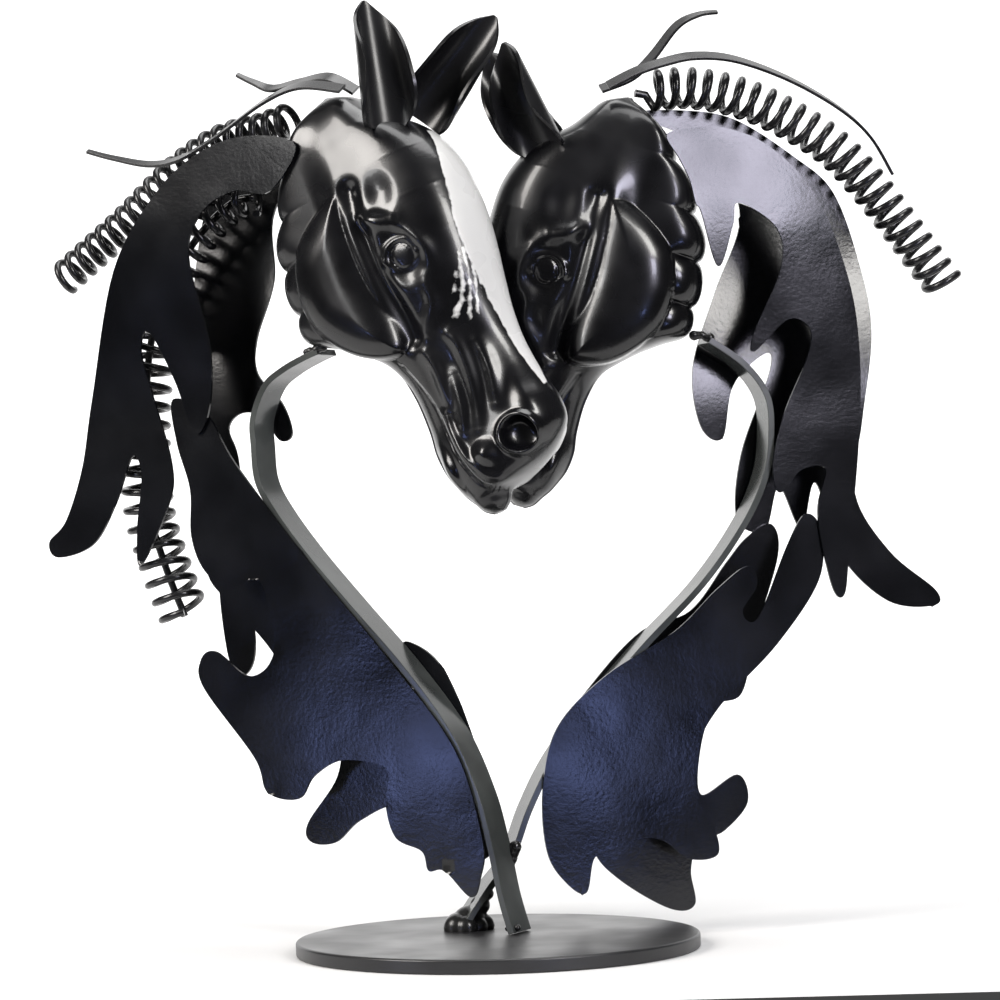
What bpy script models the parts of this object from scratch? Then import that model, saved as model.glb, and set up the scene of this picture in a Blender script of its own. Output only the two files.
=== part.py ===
"""Metal horse statue: two horse heads with sheet-metal manes on crossed bars and a round base.

Sizes are in millimetres and become metres when an object is made. The centre of the base disc's
underside is the origin. The viewer looks along +Y. Each horse stands in its own upright plane,
turned about Z.
"""
import bmesh
import bpy
import math
import numpy as np
from mathutils import Vector

MM = 0.001
GAP = 0.3                  # clearance between two separate pieces that touch
DISC_RADIUS = 62.5
DISC_THICK = 4.5
DISC_SEGMENTS = 44
EDGE_ROUND = 0.8

BAR_WIDTH = 13.0           # across the horse's plane
BAR_THICK = 2.0
BAR_CLEAR = 2.2            # from the back edge of the left bar to the right bar, where they cross
SHEET = 1.0                # sheet metal of the mane plates, ears and wisps
LOW_OFFSET = BAR_WIDTH / 2 + GAP + SHEET / 2
TOP_OFFSET = LOW_OFFSET + SHEET + GAP
HEAD_OFFSET = 15.2         # half distance between the upper plates beside the head
RIM_OFFSET = 11.0          # the same for a plate that ends at the rim of the head's flange

WISP_WIDTH = 5.5
WISP_TIP = 0.35            # width at the tip as a share of the width at the root
WISP_TILT = math.radians(28)

INNER_OFFSET = 3.0         # the inner spring and its rod, behind the horse's plane
COIL_STEPS = 6             # points on each turn of a spring
ROD_RADIUS = 1.2
STRAIGHT = math.radians(12)            # a plate's edge keeps no corner flatter than this
JAW_WELD = (4, 4, 2.5)     # reach of a weld lump along its three axes
LEFT_JAW = (-60, 183, -3)  # X, Z and distance behind the plane of a weld
RIGHT_JAW = (72, 188, -3)
FOOT = (-9, 6, 0)
FLARE = (165, 235)         # heights between which the upper plates spread to the head
FOOT_WELD = (8.5, 8.5, 7)
PLATE_BENDS = range(172, 223, 12)      # heights at which the upper plates bend outwards


class Horse:
    """The upright plane of one horse. Its frame has x to the right in the plane and y away from
    the viewer; look is 1 for a horse that looks to the right and -1 for one that looks left."""

    def __init__(self, x, y, turn, look):
        self.x, self.y, self.turn, self.look = x, y, math.radians(turn), look

    def at(self, x, z, offset):
        """The point in the horse's frame that is seen at this X and Z, so far behind the plane."""
        run = (x - self.x + offset * math.sin(self.turn)) / math.cos(self.turn)
        return Vector((run, offset, z)) * MM

    def place(self, name):
        return empty(name, (self.x, self.y, 0), (0, 0, self.turn))


LEFT = Horse(5.0, 7.0, -25, 1)
RIGHT = Horse(LEFT.x, LEFT.y + BAR_WIDTH + BAR_CLEAR, 13, -1)
ACROSS = Vector((0, 1, 0))
UP = Vector((0, 0, 1))

# Outlines of the mane plates, X and Z as seen from the front.
LEFT_UPPER_FRONT = (
    (-57, 252), (-72, 256), (-88, 252), (-103, 240), (-118, 216), (-127, 175), (-131, 153),
    (-137, 136), (-143, 129), (-140, 124), (-128, 128), (-120, 141), (-114, 156), (-111, 150),
    (-113, 132), (-112, 121), (-102, 141), (-101, 154), (-107, 177), (-110, 190), (-107, 196),
    (-99, 180), (-93, 163), (-88, 170), (-87, 190), (-93, 219), (-88, 233), (-77, 239), (-66, 238))
LEFT_LOWER_FRONT = (
    (-100, 174), (-89, 169), (-80, 153), (-59, 124), (-32, 90), (-12, 62), (-4, 34), (-5, 22),
    (-8, 16), (-16, 24), (-21, 24), (-23, 30), (-31, 34), (-34, 44), (-33, 55), (-40, 58),
    (-49, 58), (-57, 53), (-62, 46), (-72, 48), (-76, 59), (-92, 81), (-93, 90), (-88, 93),
    (-77, 85), (-69, 92), (-71, 111), (-75, 116), (-83, 113), (-91, 119), (-95, 130), (-95, 145),
    (-99, 160))
LEFT_UPPER_BACK = (
    (-58, 253), (-71, 251), (-82, 245), (-90, 234), (-95, 200), (-96, 174), (-89, 138),
    (-87, 105), (-84, 87), (-79, 85), (-76, 95), (-79, 122), (-80, 153), (-83, 164), (-79, 169),
    (-72, 168), (-66, 160), (-62, 162), (-65, 172), (-73, 182), (-73, 193), (-67, 212),
    (-67, 232))
LEFT_LOWER_BACK = (
    (-83, 151), (-71, 139), (-45, 106), (-32, 92), (-26, 95), (-15, 86), (-5, 60), (0, 35),
    (-5, 26), (-14, 35), (-30, 43), (-43, 38), (-51, 31), (-59, 31), (-60, 37), (-50, 52),
    (-50, 64), (-62, 71), (-69, 90), (-81, 105), (-91, 117), (-91, 135))
RIGHT_UPPER_FRONT = (
    (59.5, 252.5), (66, 254.5), (77, 255), (92, 249), (107, 233), (117, 206), (120, 182), (119, 155),
    (115, 120), (113, 106), (109, 109), (105, 132), (108, 146), (100, 146), (93, 139), (91, 148),
    (95, 164), (103, 182), (104, 191), (97, 194), (86, 184), (86, 190), (95, 210), (94, 223),
    (82, 231), (80, 224), (75, 211), (70, 228), (68.3, 231), (66.5, 238.5), (63.2, 245.5))
RIGHT_UPPER_BACK = (
    (48, 262), (66, 263), (83, 260), (102, 248), (115, 236), (123, 212), (126, 190), (122, 162),
    (119, 138), (130, 119), (145, 106), (144, 101), (129, 103), (114, 118), (106, 142),
    (101, 127), (94, 141), (89, 127), (80, 131), (82, 152), (92, 178), (91, 184), (80, 174),
    (76, 157), (69, 161), (67, 180), (75, 204), (84, 228), (77, 247), (64, 256))
RIGHT_LOWER_FRONT = (
    (101, 132), (95, 122), (87, 103), (83, 98), (80, 102), (85, 110), (82, 116), (72, 109),
    (58, 96), (36, 83), (20, 67), (15, 47), (16, 28), (22, 18), (28, 15), (31, 26), (38, 25),
    (45, 31), (53, 30), (61, 24), (70, 25), (69, 34), (64, 44), (64, 58), (72, 72), (91, 91),
    (105, 111), (106, 127))
RIGHT_LOWER_BACK = (
    (83, 125), (91, 129), (93, 119), (85, 94), (80, 75), (71, 71), (66, 57), (66, 43), (78, 49),
    (81, 40), (73, 31), (65, 28), (62, 19), (63, 8), (55, 7), (39, 17), (31, 27), (32, 42),
    (26, 54), (18, 46), (19, 62), (32, 80), (48, 96), (64, 102), (76, 117))

# Near edge of the two bars, from the head down to the base.
LEFT_BAR = (
    (-52.5, 187.4), (-57, 185.6), (-64, 182), (-70, 177), (-74, 167), (-74, 158), (-73, 147),
    (-68, 137), (-58, 123),
    (-44, 106), (-28, 87), (-14, 67), (-6, 48), (-2, 32), (1, 16), (5, DISC_THICK - 2))
RIGHT_BAR = (
    (72, 188), (83, 180), (90, 170), (91, 158), (89, 145), (82, 130), (68, 111), (48, 91),
    (30, 71), (19, 57), (11, 42), (5, 27), (-2, 18), (-9, 8))

# Hair wisps, coil springs and the rod, as centre lines.
LEFT_SHORT_WISP = ((-39, 268), (-48, 273), (-58, 272), (-66, 271), (-72, 274), (-77, 277))
LEFT_LONG_WISP = (
    (-43, 268), (-56, 270), (-68, 266), (-84, 256), (-96, 250), (-106, 249), (-118, 252),
    (-127, 255))
RIGHT_SHORT_WISP = ((40, 267.5), (50, 271.5), (57, 278), (65, 288), (72, 292), (78, 293))
RIGHT_LONG_WISP = (
    (42, 267.5), (51, 272), (60, 275), (70, 277), (83, 276), (100, 270), (116, 261), (126, 252),
    (133, 240))
LEFT_CREST = (
    (-58.5, 262), (-69, 259), (-83, 256), (-98, 247), (-114, 233), (-128, 222), (-137, 215))
LEFT_INNER = (
    (-72, 238), (-79, 237), (-90, 228), (-99, 215), (-107, 197), (-110, 178), (-111, 158),
    (-110, 138), (-105, 120), (-99, 104))
RIGHT_CREST = (
    (56, 268), (68, 269), (84, 266), (100, 259), (115, 249), (126, 237), (136, 224), (144, 213),
    (150, 205))

# Start of the right crest spring's wire, from the top of the head to its first ring.
RIGHT_LEAD = ((50.4, 267.4), (53.8, 266.8))
# Each spring: distance behind the plane, ring radius at the start and from half way on, pitch and
# wire thickness.
LEFT_CREST_COIL = (0, 4.8, 4.8, 4.75, 2.4)
LEFT_INNER_COIL = (INNER_OFFSET, 5.2, 7.4, 6.0, 2.4)
RIGHT_CREST_COIL = (4, 5.6, 5.6, 5.2, 2.6)


def spline(points, parts, closed=False):
    """Smooth curve through the points, with so many straight parts between two of them."""
    count = len(points)
    spans = count if closed else count - 1
    curve = []
    for i in range(spans):
        around = []
        for k in (i - 1, i, i + 1, i + 2):
            around.append(points[k % count] if closed else points[min(max(k, 0), count - 1)])
        for j in range(parts):
            curve.append(blend(around, j / parts))
    if not closed:
        curve.append(tuple(points[-1]))
    return curve


def blend(around, t):
    """A point on the smooth curve between the two middle ones of four points."""
    weights = (-t + 2 * t * t - t ** 3, 2 - 5 * t * t + 3 * t ** 3,
               t + 4 * t * t - 3 * t ** 3, t ** 3 - t * t)
    size = len(around[0])
    return tuple(sum(w * p[k] for w, p in zip(weights, around)) / 2 for k in range(size))


def ramp(value, low, high):
    """Smooth step from 0 to 1."""
    t = min(max((value - low) / (high - low), 0.0), 1.0)
    return t * t * (3 - 2 * t)


def clear_scene():
    for obj in list(bpy.data.objects):
        bpy.data.objects.remove(obj, do_unlink=True)
    for old in list(bpy.data.collections):
        bpy.data.collections.remove(old)


def new_collection(name):
    made = bpy.data.collections.new(name)
    bpy.context.scene.collection.children.link(made)
    return made


def paint(name, colour, roughness, metallic=0.0):
    material = bpy.data.materials.new(name)
    material.use_nodes = True
    shader = material.node_tree.nodes["Principled BSDF"]
    shader.inputs["Base Color"].default_value = (*colour, 1)
    shader.inputs["Roughness"].default_value = roughness
    shader.inputs["Metallic"].default_value = metallic
    material.diffuse_color = (*colour, 1)
    return material


def empty(name, location, rotation):
    made = bpy.data.objects.new(name, None)
    made.location = Vector(location) * MM
    made.rotation_euler = rotation
    STATUE.objects.link(made)
    bpy.context.view_layer.update()
    return made


def to_object(name, data, parent, material):
    """A mesh or curve as an object in the statue, in its parent's frame."""
    data.materials.append(material)
    obj = bpy.data.objects.new(name, data)
    STATUE.objects.link(obj)
    obj.parent = parent
    return obj


def from_shape(name, shape, parent, material, smooth=False):
    shape.normal_update()
    bmesh.ops.recalc_face_normals(shape, faces=shape.faces)
    mesh = bpy.data.meshes.new(name)
    shape.to_mesh(mesh)
    shape.free()
    if smooth:
        mesh.shade_smooth()
    return to_object(name, mesh, parent, material)


def thicken(obj, thick):
    shell = obj.modifiers.new("sheet", "SOLIDIFY")
    shell.thickness = thick * MM
    shell.offset = 0
    shell.use_even_offset = True
    return obj


def grid(name, rows, parent, material, smooth=False):
    """Open surface through rows of points. Each field has the same diagonal, so that a sheet and
    the slot cut for it bend alike."""
    shape = bmesh.new()
    verts = [[shape.verts.new(p) for p in row] for row in rows]
    for low, high in zip(verts, verts[1:]):
        for k in range(len(low) - 1):
            shape.faces.new((low[k], low[k + 1], high[k + 1]))
            shape.faces.new((low[k], high[k + 1], high[k]))
    return from_shape(name, shape, parent, material, smooth)


def wire(name, line, radius, parent, material):
    """Round wire along a line of points, with filled ends."""
    curve = bpy.data.curves.new(name, "CURVE")
    curve.dimensions = "3D"
    curve.bevel_depth = radius * MM
    curve.bevel_resolution = 0
    curve.use_fill_caps = True
    spline_line = curve.splines.new("POLY")
    spline_line.points.add(len(line) - 1)
    for spot_on_line, point in zip(spline_line.points, line):
        spot_on_line.co = (*point, 1)
    return to_object(name, curve, parent, material)


def boolean(obj, tool, operation):
    step = obj.modifiers.new(operation.lower(), "BOOLEAN")
    step.operation = operation
    step.solver = "EXACT"
    step.object = tool
    CUTTERS.objects.link(tool)
    STATUE.objects.unlink(tool)
    tool.hide_render = True
    tool.display_type = "WIRE"


# Base and bars

def base_disc():
    shape = bmesh.new()
    bmesh.ops.create_cone(shape, cap_ends=True, segments=DISC_SEGMENTS,
                          radius1=DISC_RADIUS * MM, radius2=DISC_RADIUS * MM,
                          depth=DISC_THICK * MM)
    disc = from_shape("base_disc", shape, None, BLACK_BASE)
    disc.location.z = DISC_THICK / 2 * MM
    rim = disc.modifiers.new("round edge", "BEVEL")
    rim.width = EDGE_ROUND * MM
    rim.segments = 1
    rim.limit_method = "ANGLE"


def strip(name, horse, parent, path, middle, width, thick, material, tilt=0.0, tip=1.0):
    """Flat strip bent along the path. Its width lies across the horse's plane, or rises from
    there by the tilt away from the viewer, and narrows to the share tip at the far end."""
    over = ACROSS * math.cos(tilt) + UP * math.sin(tilt)
    line = spline(path, 2)
    rows = []
    for i, (x, z) in enumerate(line):
        wide = width * (1 - (1 - tip) * ramp(i / (len(line) - 1), 0.4, 1))
        near = horse.at(x, z, middle - wide / 2)
        rows.append((near, near + over * wide * MM))
    return thicken(grid(name, rows, parent, material, smooth=True), thick)


def weld_lump(name, centre, size, parent, turns):
    """Uneven bead of weld metal."""
    shape = bmesh.new()
    bmesh.ops.create_icosphere(shape, subdivisions=2, radius=1.0)
    for vert in shape.verts:
        p = vert.co
        uneven = 1 + 0.12 * math.sin(5 * p.x + turns) * math.cos(4 * p.y + 3 * p.z + 2 * turns)
        vert.co = centre + Vector((p.x * size[0], p.y * size[1], p.z * size[2])) * uneven * MM
    return from_shape(name, shape, parent, BLACK_WELD)


def floor_cutter(name):
    """Block that takes away all that would be sunk in the disc."""
    shape = bmesh.new()
    deep = 40
    bmesh.ops.create_cube(shape, size=deep * MM)
    block = from_shape(name, shape, None, BLACK_WELD)
    block.location = Vector((0, 10, DISC_THICK + GAP - deep / 2)) * MM
    return block


def bars(left, right):
    first = strip("left_bar", LEFT, left, LEFT_BAR, 0, BAR_WIDTH, BAR_THICK, BLACK_BAR)
    jaw = weld_lump("left_jaw_weld", LEFT.at(*LEFT_JAW), JAW_WELD, left, 1)
    boolean(first, jaw, "UNION")
    boolean(first, floor_cutter("left_foot_cut"), "DIFFERENCE")
    second = strip("right_bar", RIGHT, right, RIGHT_BAR, 0, BAR_WIDTH, BAR_THICK, BLACK_BAR)
    jaw = weld_lump("right_jaw_weld", RIGHT.at(*RIGHT_JAW), JAW_WELD, right, 2)
    foot = weld_lump("foot_weld", RIGHT.at(*FOOT), FOOT_WELD, right, 3)
    boolean(second, jaw, "UNION")
    boolean(second, foot, "UNION")
    boolean(second, floor_cutter("right_foot_cut"), "DIFFERENCE")


# Mane plates

def plate(name, horse, parent, outline, offset_at, bends):
    """Bent sheet with this outline; offset_at gives its distance from the plane by height."""
    shape = bmesh.new()
    edge = spline(outline, 2, closed=True)
    shape.faces.new([shape.verts.new((x, 0, z)) for x, z in edge])
    bmesh.ops.dissolve_limit(shape, angle_limit=STRAIGHT, verts=shape.verts, edges=shape.edges)
    for level in bends:
        whole = shape.verts[:] + shape.edges[:] + shape.faces[:]
        bmesh.ops.bisect_plane(shape, geom=whole, plane_co=(0, 0, level), plane_no=(0, 0, 1))
    shape.normal_update()
    bmesh.ops.triangulate(shape, faces=shape.faces)
    for vert in shape.verts:
        vert.co = horse.at(vert.co.x, vert.co.z, offset_at(vert.co.z))
    thicken(from_shape(name, shape, parent, BLACK_PLATE), SHEET)


def upper_offset(side, spread):
    return lambda z: side * (TOP_OFFSET + (spread - TOP_OFFSET) * ramp(z, *FLARE))


def lower_offset(side):
    return lambda z: side * LOW_OFFSET


def plates(left, right):
    for word, horse, parent, spread, upper_front, upper_back, lower_front, lower_back in (
            ("left", LEFT, left, HEAD_OFFSET, LEFT_UPPER_FRONT, LEFT_UPPER_BACK,
             LEFT_LOWER_FRONT, LEFT_LOWER_BACK),
            ("right", RIGHT, right, RIM_OFFSET, RIGHT_UPPER_FRONT, RIGHT_UPPER_BACK,
             RIGHT_LOWER_FRONT, RIGHT_LOWER_BACK)):
        plate(word + "_upper_front_plate", horse, parent, upper_front, upper_offset(-1, spread),
              PLATE_BENDS)
        plate(word + "_upper_back_plate", horse, parent, upper_back,
              upper_offset(1, HEAD_OFFSET),
              PLATE_BENDS)
        plate(word + "_lower_front_plate", horse, parent, lower_front, lower_offset(-1), ())
        plate(word + "_lower_back_plate", horse, parent, lower_back, lower_offset(1), ())


# Springs, rod and wisps

def even_line(line, step):
    """Points at even distances along a line, with the direction of each."""
    spots = []
    left = 0.0
    for a, b in zip(line, line[1:]):
        length = (b - a).length
        while left < length:
            spots.append((a.lerp(b, left / length), (b - a).normalized()))
            left += step
        left -= length
    return spots


def coil(name, horse, parent, path, sizes, lead=()):
    """Coil spring round the path, with its ring radius changing over its first half. A lead is
    straight wire that runs to the bottom of the first ring."""
    offset, first_ring, last_ring, pitch, thick = sizes
    line = [horse.at(x, z, offset) for x, z in spline(path, 8)]
    spots = even_line(line, pitch * MM / COIL_STEPS)
    helix = [horse.at(x, z, offset) for x, z in lead]
    first_angle = math.pi if lead else 0
    for i, (point, along) in enumerate(spots):
        share = i / (len(spots) - 1)
        radius = first_ring + (last_ring - first_ring) * ramp(share, 0, 0.5)
        side = along.cross(ACROSS)
        angle = first_angle + math.tau * i / COIL_STEPS
        ring = side * math.cos(angle) + ACROSS * math.sin(angle)
        helix.append(point + ring * radius * MM)
    wire(name, helix, thick / 2, parent, BLACK_WIRE)


def springs(left, right):
    coil("left_crest_spring", LEFT, left, LEFT_CREST, LEFT_CREST_COIL)
    coil("left_inner_spring", LEFT, left, LEFT_INNER, LEFT_INNER_COIL)
    coil("right_crest_spring", RIGHT, right, RIGHT_CREST, RIGHT_CREST_COIL, RIGHT_LEAD)
    rod = [LEFT.at(x, z, INNER_OFFSET) for x, z in spline(LEFT_INNER, 2)]
    wire("left_rod", rod, ROD_RADIUS, left, BLACK_WIRE)


def wisps(left, right):
    for name, horse, parent, path, offset in (
            ("left_short_wisp", LEFT, left, LEFT_SHORT_WISP, -1),
            ("left_long_wisp", LEFT, left, LEFT_LONG_WISP, -9),
            ("right_short_wisp", RIGHT, right, RIGHT_SHORT_WISP, 5),
            ("right_long_wisp", RIGHT, right, RIGHT_LONG_WISP, -4)):
        strip(name, horse, parent, path, offset, WISP_WIDTH, SHEET, BLACK_WISP, WISP_TILT,
              WISP_TIP)


# Heads and ears. In a head's frame s runs down the face, v forward out of it and t away from
# the viewer, all from the poll.

# The poll of each head, and how far the head leans forward and turns.
LEFT_POLL = (-15.0, LEFT.y + 9.3, 254.0)
LEFT_LEAN = math.radians(24)
RIGHT_POLL = (16.2, RIGHT.y + 17.4, 249.0)
RIGHT_LEAN = math.radians(18)
RIGHT_TURN = math.radians(-4.5)

# Along the face: distance down it, the face line, the line of the jaw or flange, half width.
HEAD_SECTIONS = (
    (-26, -25, -29, 4), (-23, -18.5, -34, 9), (-18, -14.5, -41, 12.5), (-12, -10, -47, 14.5),
    (-6, -3, -52.5, 15.5), (2, 2.6, -57.5, 17), (12, 5.8, -62.5, 18.6), (24, 6.2, -65, 19.6),
    (34, 5.4, -66, 19.4), (42, 4.2, -64.5, 18.4), (47, 3.2, -57, 17.2), (53, 2.2, -49.5, 15.6),
    (61, 1.2, -42.5, 13.8), (72, 1, -40, 12), (84, 2.4, -40, 11.6), (92, 4.2, -41, 12.5),
    (99, 3.7, -40.5, 13.3), (104, -0.4, -39, 13), (108, -7, -37.4, 12.4), (110.5, -15, -36, 11),
    (111.8, -22, -35.2, 9.6), (115, -24.5, -33.5, 7.5), (117, -27, -31, 4))
HEAD_STATIONS = (-26, -22, -16, -11, -3.75, 3.5, 10.75, 18, 25.25, 32.5, 39.75, 47, 53, 61, 72, 84,
                 94, 99, 104, 108, 110.5, 112, 117)
HEAD_AROUND = 16
FLANGE_HALF = HEAD_OFFSET - SHEET / 2 - GAP
LOBE_PITCH = 14.5
FIRST_NOTCH = 3.5
NOTCH_DEPTH = 2.8
LOBES_END = (42, 47)       # down the face, where the lobes of the flange run out
FLANGE_END = (48, 62)      # down the face, where the flange itself runs out
FLANGE_DEPTH = (28, 40)    # behind the poll, where the head widens to the flange
MUZZLE_START = 57
RIGHT_MUZZLE = 0.86        # length of the right muzzle as a share of the left one
# Centre and reach along and out of the face, then depth and distance from the middle plane.
CHEEK = (33, -42, 28, 15.5, 9, 11)
EYE = (34.5, -17.3, 5, 4.4, 4, 14)
BROW_KNOB = (24, -12, 7, 5, 4, 13)
NOSTRIL = (100, -9, 4.8, 4.8, 3, 12.5)
MOUTH = ((84, -32.2), (94, -30.3), (104, -27), (111, -23.5))
MOUTH_OPEN = 1.4
EAR_HALF = 15.5            # half the width of an ear's sheet before it is rolled
EAR_CURL = 9.5
EAR_TAPER = 0.35           # how much tighter an ear is rolled at its tip
EAR_WRAP = 2.0             # largest angle of the roll at each side of the middle
EAR_ROWS = 5
EAR_COLUMNS = 3            # faces at each side of the middle
# Foot and tip of each ear, and the direction in which it opens.
LEFT_NEAR_EAR = ((-6, -9.5, -11), (-46, 1, -8), (0, 10, -7))
LEFT_FAR_EAR = ((-7, -4, 9), (-27, 31, 14), (0, 4, -10))
RIGHT_NEAR_EAR = ((-3, -8, -10), (-31, 17, -10), (0, 8, -8))
RIGHT_FAR_EAR = ((-7, -5, 9), (-28, 23, 8), (0, 8, -8))
# Width of an ear from its foot to its tip, as shares of its length and of EAR_HALF.
EAR_SHAPE = ((0, 0.5), (0.12, 0.8), (0.3, 1), (0.5, 0.95), (0.7, 0.7), (0.88, 0.34), (1, 0.04))


def along_table(s, column):
    """One column of the section table, read smoothly at distances down the face."""
    return np.interp(s, [row[0] for row in HEAD_SECTIONS], [row[column] for row in HEAD_SECTIONS])


def head_surface(s, turn):
    """Forward and sideways place of the surface. turn goes round from the face to the jaw."""
    front, back, half = (along_table(s, column) for column in (1, 2, 3))
    share = ((s - FIRST_NOTCH) / LOBE_PITCH) % 1
    notch = (1 - math.sqrt(1 - (2 * share - 1) ** 2)) * (1 - ramp(s, *LOBES_END))
    back = back + NOTCH_DEPTH * notch
    middle, reach = (front + back) / 2, (front - back) / 2
    v = middle + reach * math.cos(turn)
    share = abs(math.cos(turn))
    round_power = 4.2 - 1.6 * ramp(s, 45, 75)
    face = half * math.sqrt(1 - share ** round_power)
    behind = ramp(-v, *FLANGE_DEPTH) * (1 - ramp(s, *FLANGE_END))
    flange = (FLANGE_HALF - 0.4 - 3.0 * notch * ramp(-v, 50, 58)) * math.sqrt(1 - share ** 9)
    flange = min(flange, face + 6)
    return v, face + (flange - face) * behind


def in_head(horse, s, v, t):
    """A point in the frame of the head's empty; the right muzzle is the shorter one."""
    if horse is RIGHT:
        s -= (1 - RIGHT_MUZZLE) * max(s - MUZZLE_START, 0)
    return Vector((horse.look * v, t, -s)) * MM


def head(name, horse, place):
    shape = bmesh.new()
    rings = []
    for s in HEAD_STATIONS:
        ring = []
        for k in range(HEAD_AROUND):
            turn = math.tau * k / HEAD_AROUND
            v, t = head_surface(s, turn)
            ring.append(shape.verts.new(in_head(horse, s, v, t if turn <= math.pi else -t)))
        rings.append(ring)
    for low, high in zip(rings, rings[1:]):
        for k in range(HEAD_AROUND):
            n = (k + 1) % HEAD_AROUND
            shape.faces.new((low[k], low[n], high[n], high[k]))
    shape.faces.new(rings[0])
    shape.faces.new(rings[-1])
    obj = from_shape(name, shape, place, BLACK_HEAD, smooth=True)
    for side in (-1, 1):
        boolean(obj, ball(name + "_cheek", horse, place, CHEEK, side, 16), "UNION")
        boolean(obj, ball(name + "_brow", horse, place, BROW_KNOB, side, 8), "UNION")
        boolean(obj, ball(name + "_eye", horse, place, EYE, side, 8), "UNION")
        boolean(obj, ball(name + "_nostril", horse, place, NOSTRIL, side, 8), "DIFFERENCE")
        boolean(obj, mouth_cutter(name + "_mouth", horse, place, side), "DIFFERENCE")
    return obj


def ball(name, horse, place, sizes, side, around):
    """Flattened ball at one side of the head."""
    s, v, long, high, deep, aside = sizes
    shape = bmesh.new()
    bmesh.ops.create_uvsphere(shape, u_segments=around, v_segments=5, radius=1.0)
    for vert in shape.verts:
        p = vert.co
        vert.co = in_head(horse, s + long * p.x, v + high * p.y, side * (aside + deep * p.z))
    return from_shape(name, shape, place, BLACK_HEAD, smooth=True)


def mouth_cutter(name, horse, place, side):
    """Slot between the lips, cut in from one side."""
    rows = []
    for s, v in MOUTH:
        deep = 8.5 if s < 100 else 3.0
        rows.append((in_head(horse, s, v, side * deep), in_head(horse, s, v, side * 20)))
    return thicken(grid(name, rows, place, BLACK_HEAD), MOUTH_OPEN)


def ear(name, horse, place, base, tip, opening, room=0.0):
    """Leaf of sheet metal rolled lengthwise, open towards one side, and so much larger all round."""
    base, tip = in_head(horse, *base), in_head(horse, *tip)
    along = (tip - base).normalized()
    base = base - along * room * MM
    facing = in_head(horse, *opening)
    facing = (facing - along * facing.dot(along)).normalized()
    side = along.cross(facing)
    rows = []
    for i in range(EAR_ROWS + 1):
        h = i / EAR_ROWS
        half = room + EAR_HALF * np.interp(h, *zip(*EAR_SHAPE))
        radius = EAR_CURL * (1 - EAR_TAPER * h)
        row = []
        for k in range(-EAR_COLUMNS, EAR_COLUMNS + 1):
            angle = k / EAR_COLUMNS * min(half / radius, EAR_WRAP)
            shift = side * math.sin(angle) + facing * (1 - math.cos(angle))
            row.append(base.lerp(tip, h) + shift * radius * MM)
        rows.append(row)
    return thicken(grid(name, rows, place, BLACK_HEAD, smooth=True), SHEET + 2 * room)


def seated_ear(name, skull, horse, place, base, tip, opening):
    """An ear whose foot stands in a slot of the head."""
    ear(name, horse, place, base, tip, opening)
    slot = ear(name + "_slot", horse, place, base, tip, opening, GAP)
    boolean(skull, slot, "DIFFERENCE")


def heads():
    place = empty("left_head_place", LEFT_POLL, (0, -LEFT_LEAN, LEFT.turn))
    skull = head("left_head", LEFT, place)
    seated_ear("left_near_ear", skull, LEFT, place, *LEFT_NEAR_EAR)
    seated_ear("left_far_ear", skull, LEFT, place, *LEFT_FAR_EAR)
    place = empty("right_head_place", RIGHT_POLL, (0, RIGHT_LEAN, RIGHT_TURN))
    skull = head("right_head", RIGHT, place)
    seated_ear("right_near_ear", skull, RIGHT, place, *RIGHT_NEAR_EAR)
    seated_ear("right_far_ear", skull, RIGHT, place, *RIGHT_FAR_EAR)


clear_scene()
STATUE = new_collection("horse_statue")
CUTTERS = new_collection("cutters")
BLACK_BASE = paint("black_base", (0.03, 0.03, 0.032), 0.45)
BLACK_BAR = paint("black_bar", (0.03, 0.03, 0.03), 0.4)
BLACK_WELD = paint("black_weld", (0.02, 0.02, 0.02), 0.4)
BLACK_PLATE = paint("black_plate", (0.025, 0.026, 0.03), 0.38)
BLACK_WIRE = paint("black_wire", (0.02, 0.02, 0.02), 0.3)
BLACK_WISP = paint("black_wisp", (0.02, 0.02, 0.02), 0.35)
BLACK_HEAD = paint("black_head", (0.015, 0.015, 0.016), 0.2)

left_place = LEFT.place("left_place")
right_place = RIGHT.place("right_place")
base_disc()
bars(left_place, right_place)
plates(left_place, right_place)
springs(left_place, right_place)
wisps(left_place, right_place)
heads()
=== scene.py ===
"""Metal horse statue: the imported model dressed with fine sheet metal, castings, wire and paint.

Lengths are in millimetres until a point becomes part of an object, and metres from there on.
The viewer looks along +Y.
"""
import bmesh
import bpy
import math
import numpy as np
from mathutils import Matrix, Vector, noise


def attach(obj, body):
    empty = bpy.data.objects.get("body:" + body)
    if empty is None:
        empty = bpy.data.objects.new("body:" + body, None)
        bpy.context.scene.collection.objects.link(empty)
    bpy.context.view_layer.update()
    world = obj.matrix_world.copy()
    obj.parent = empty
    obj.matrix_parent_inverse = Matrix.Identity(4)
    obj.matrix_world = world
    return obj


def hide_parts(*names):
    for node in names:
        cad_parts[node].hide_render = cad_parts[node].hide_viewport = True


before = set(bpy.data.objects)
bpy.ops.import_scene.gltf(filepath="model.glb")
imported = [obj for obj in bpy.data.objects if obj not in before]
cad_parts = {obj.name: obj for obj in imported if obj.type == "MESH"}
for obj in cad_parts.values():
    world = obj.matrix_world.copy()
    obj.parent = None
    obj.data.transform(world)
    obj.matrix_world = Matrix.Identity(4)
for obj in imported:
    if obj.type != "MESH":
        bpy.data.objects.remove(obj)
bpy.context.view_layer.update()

MM = 0.001

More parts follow.
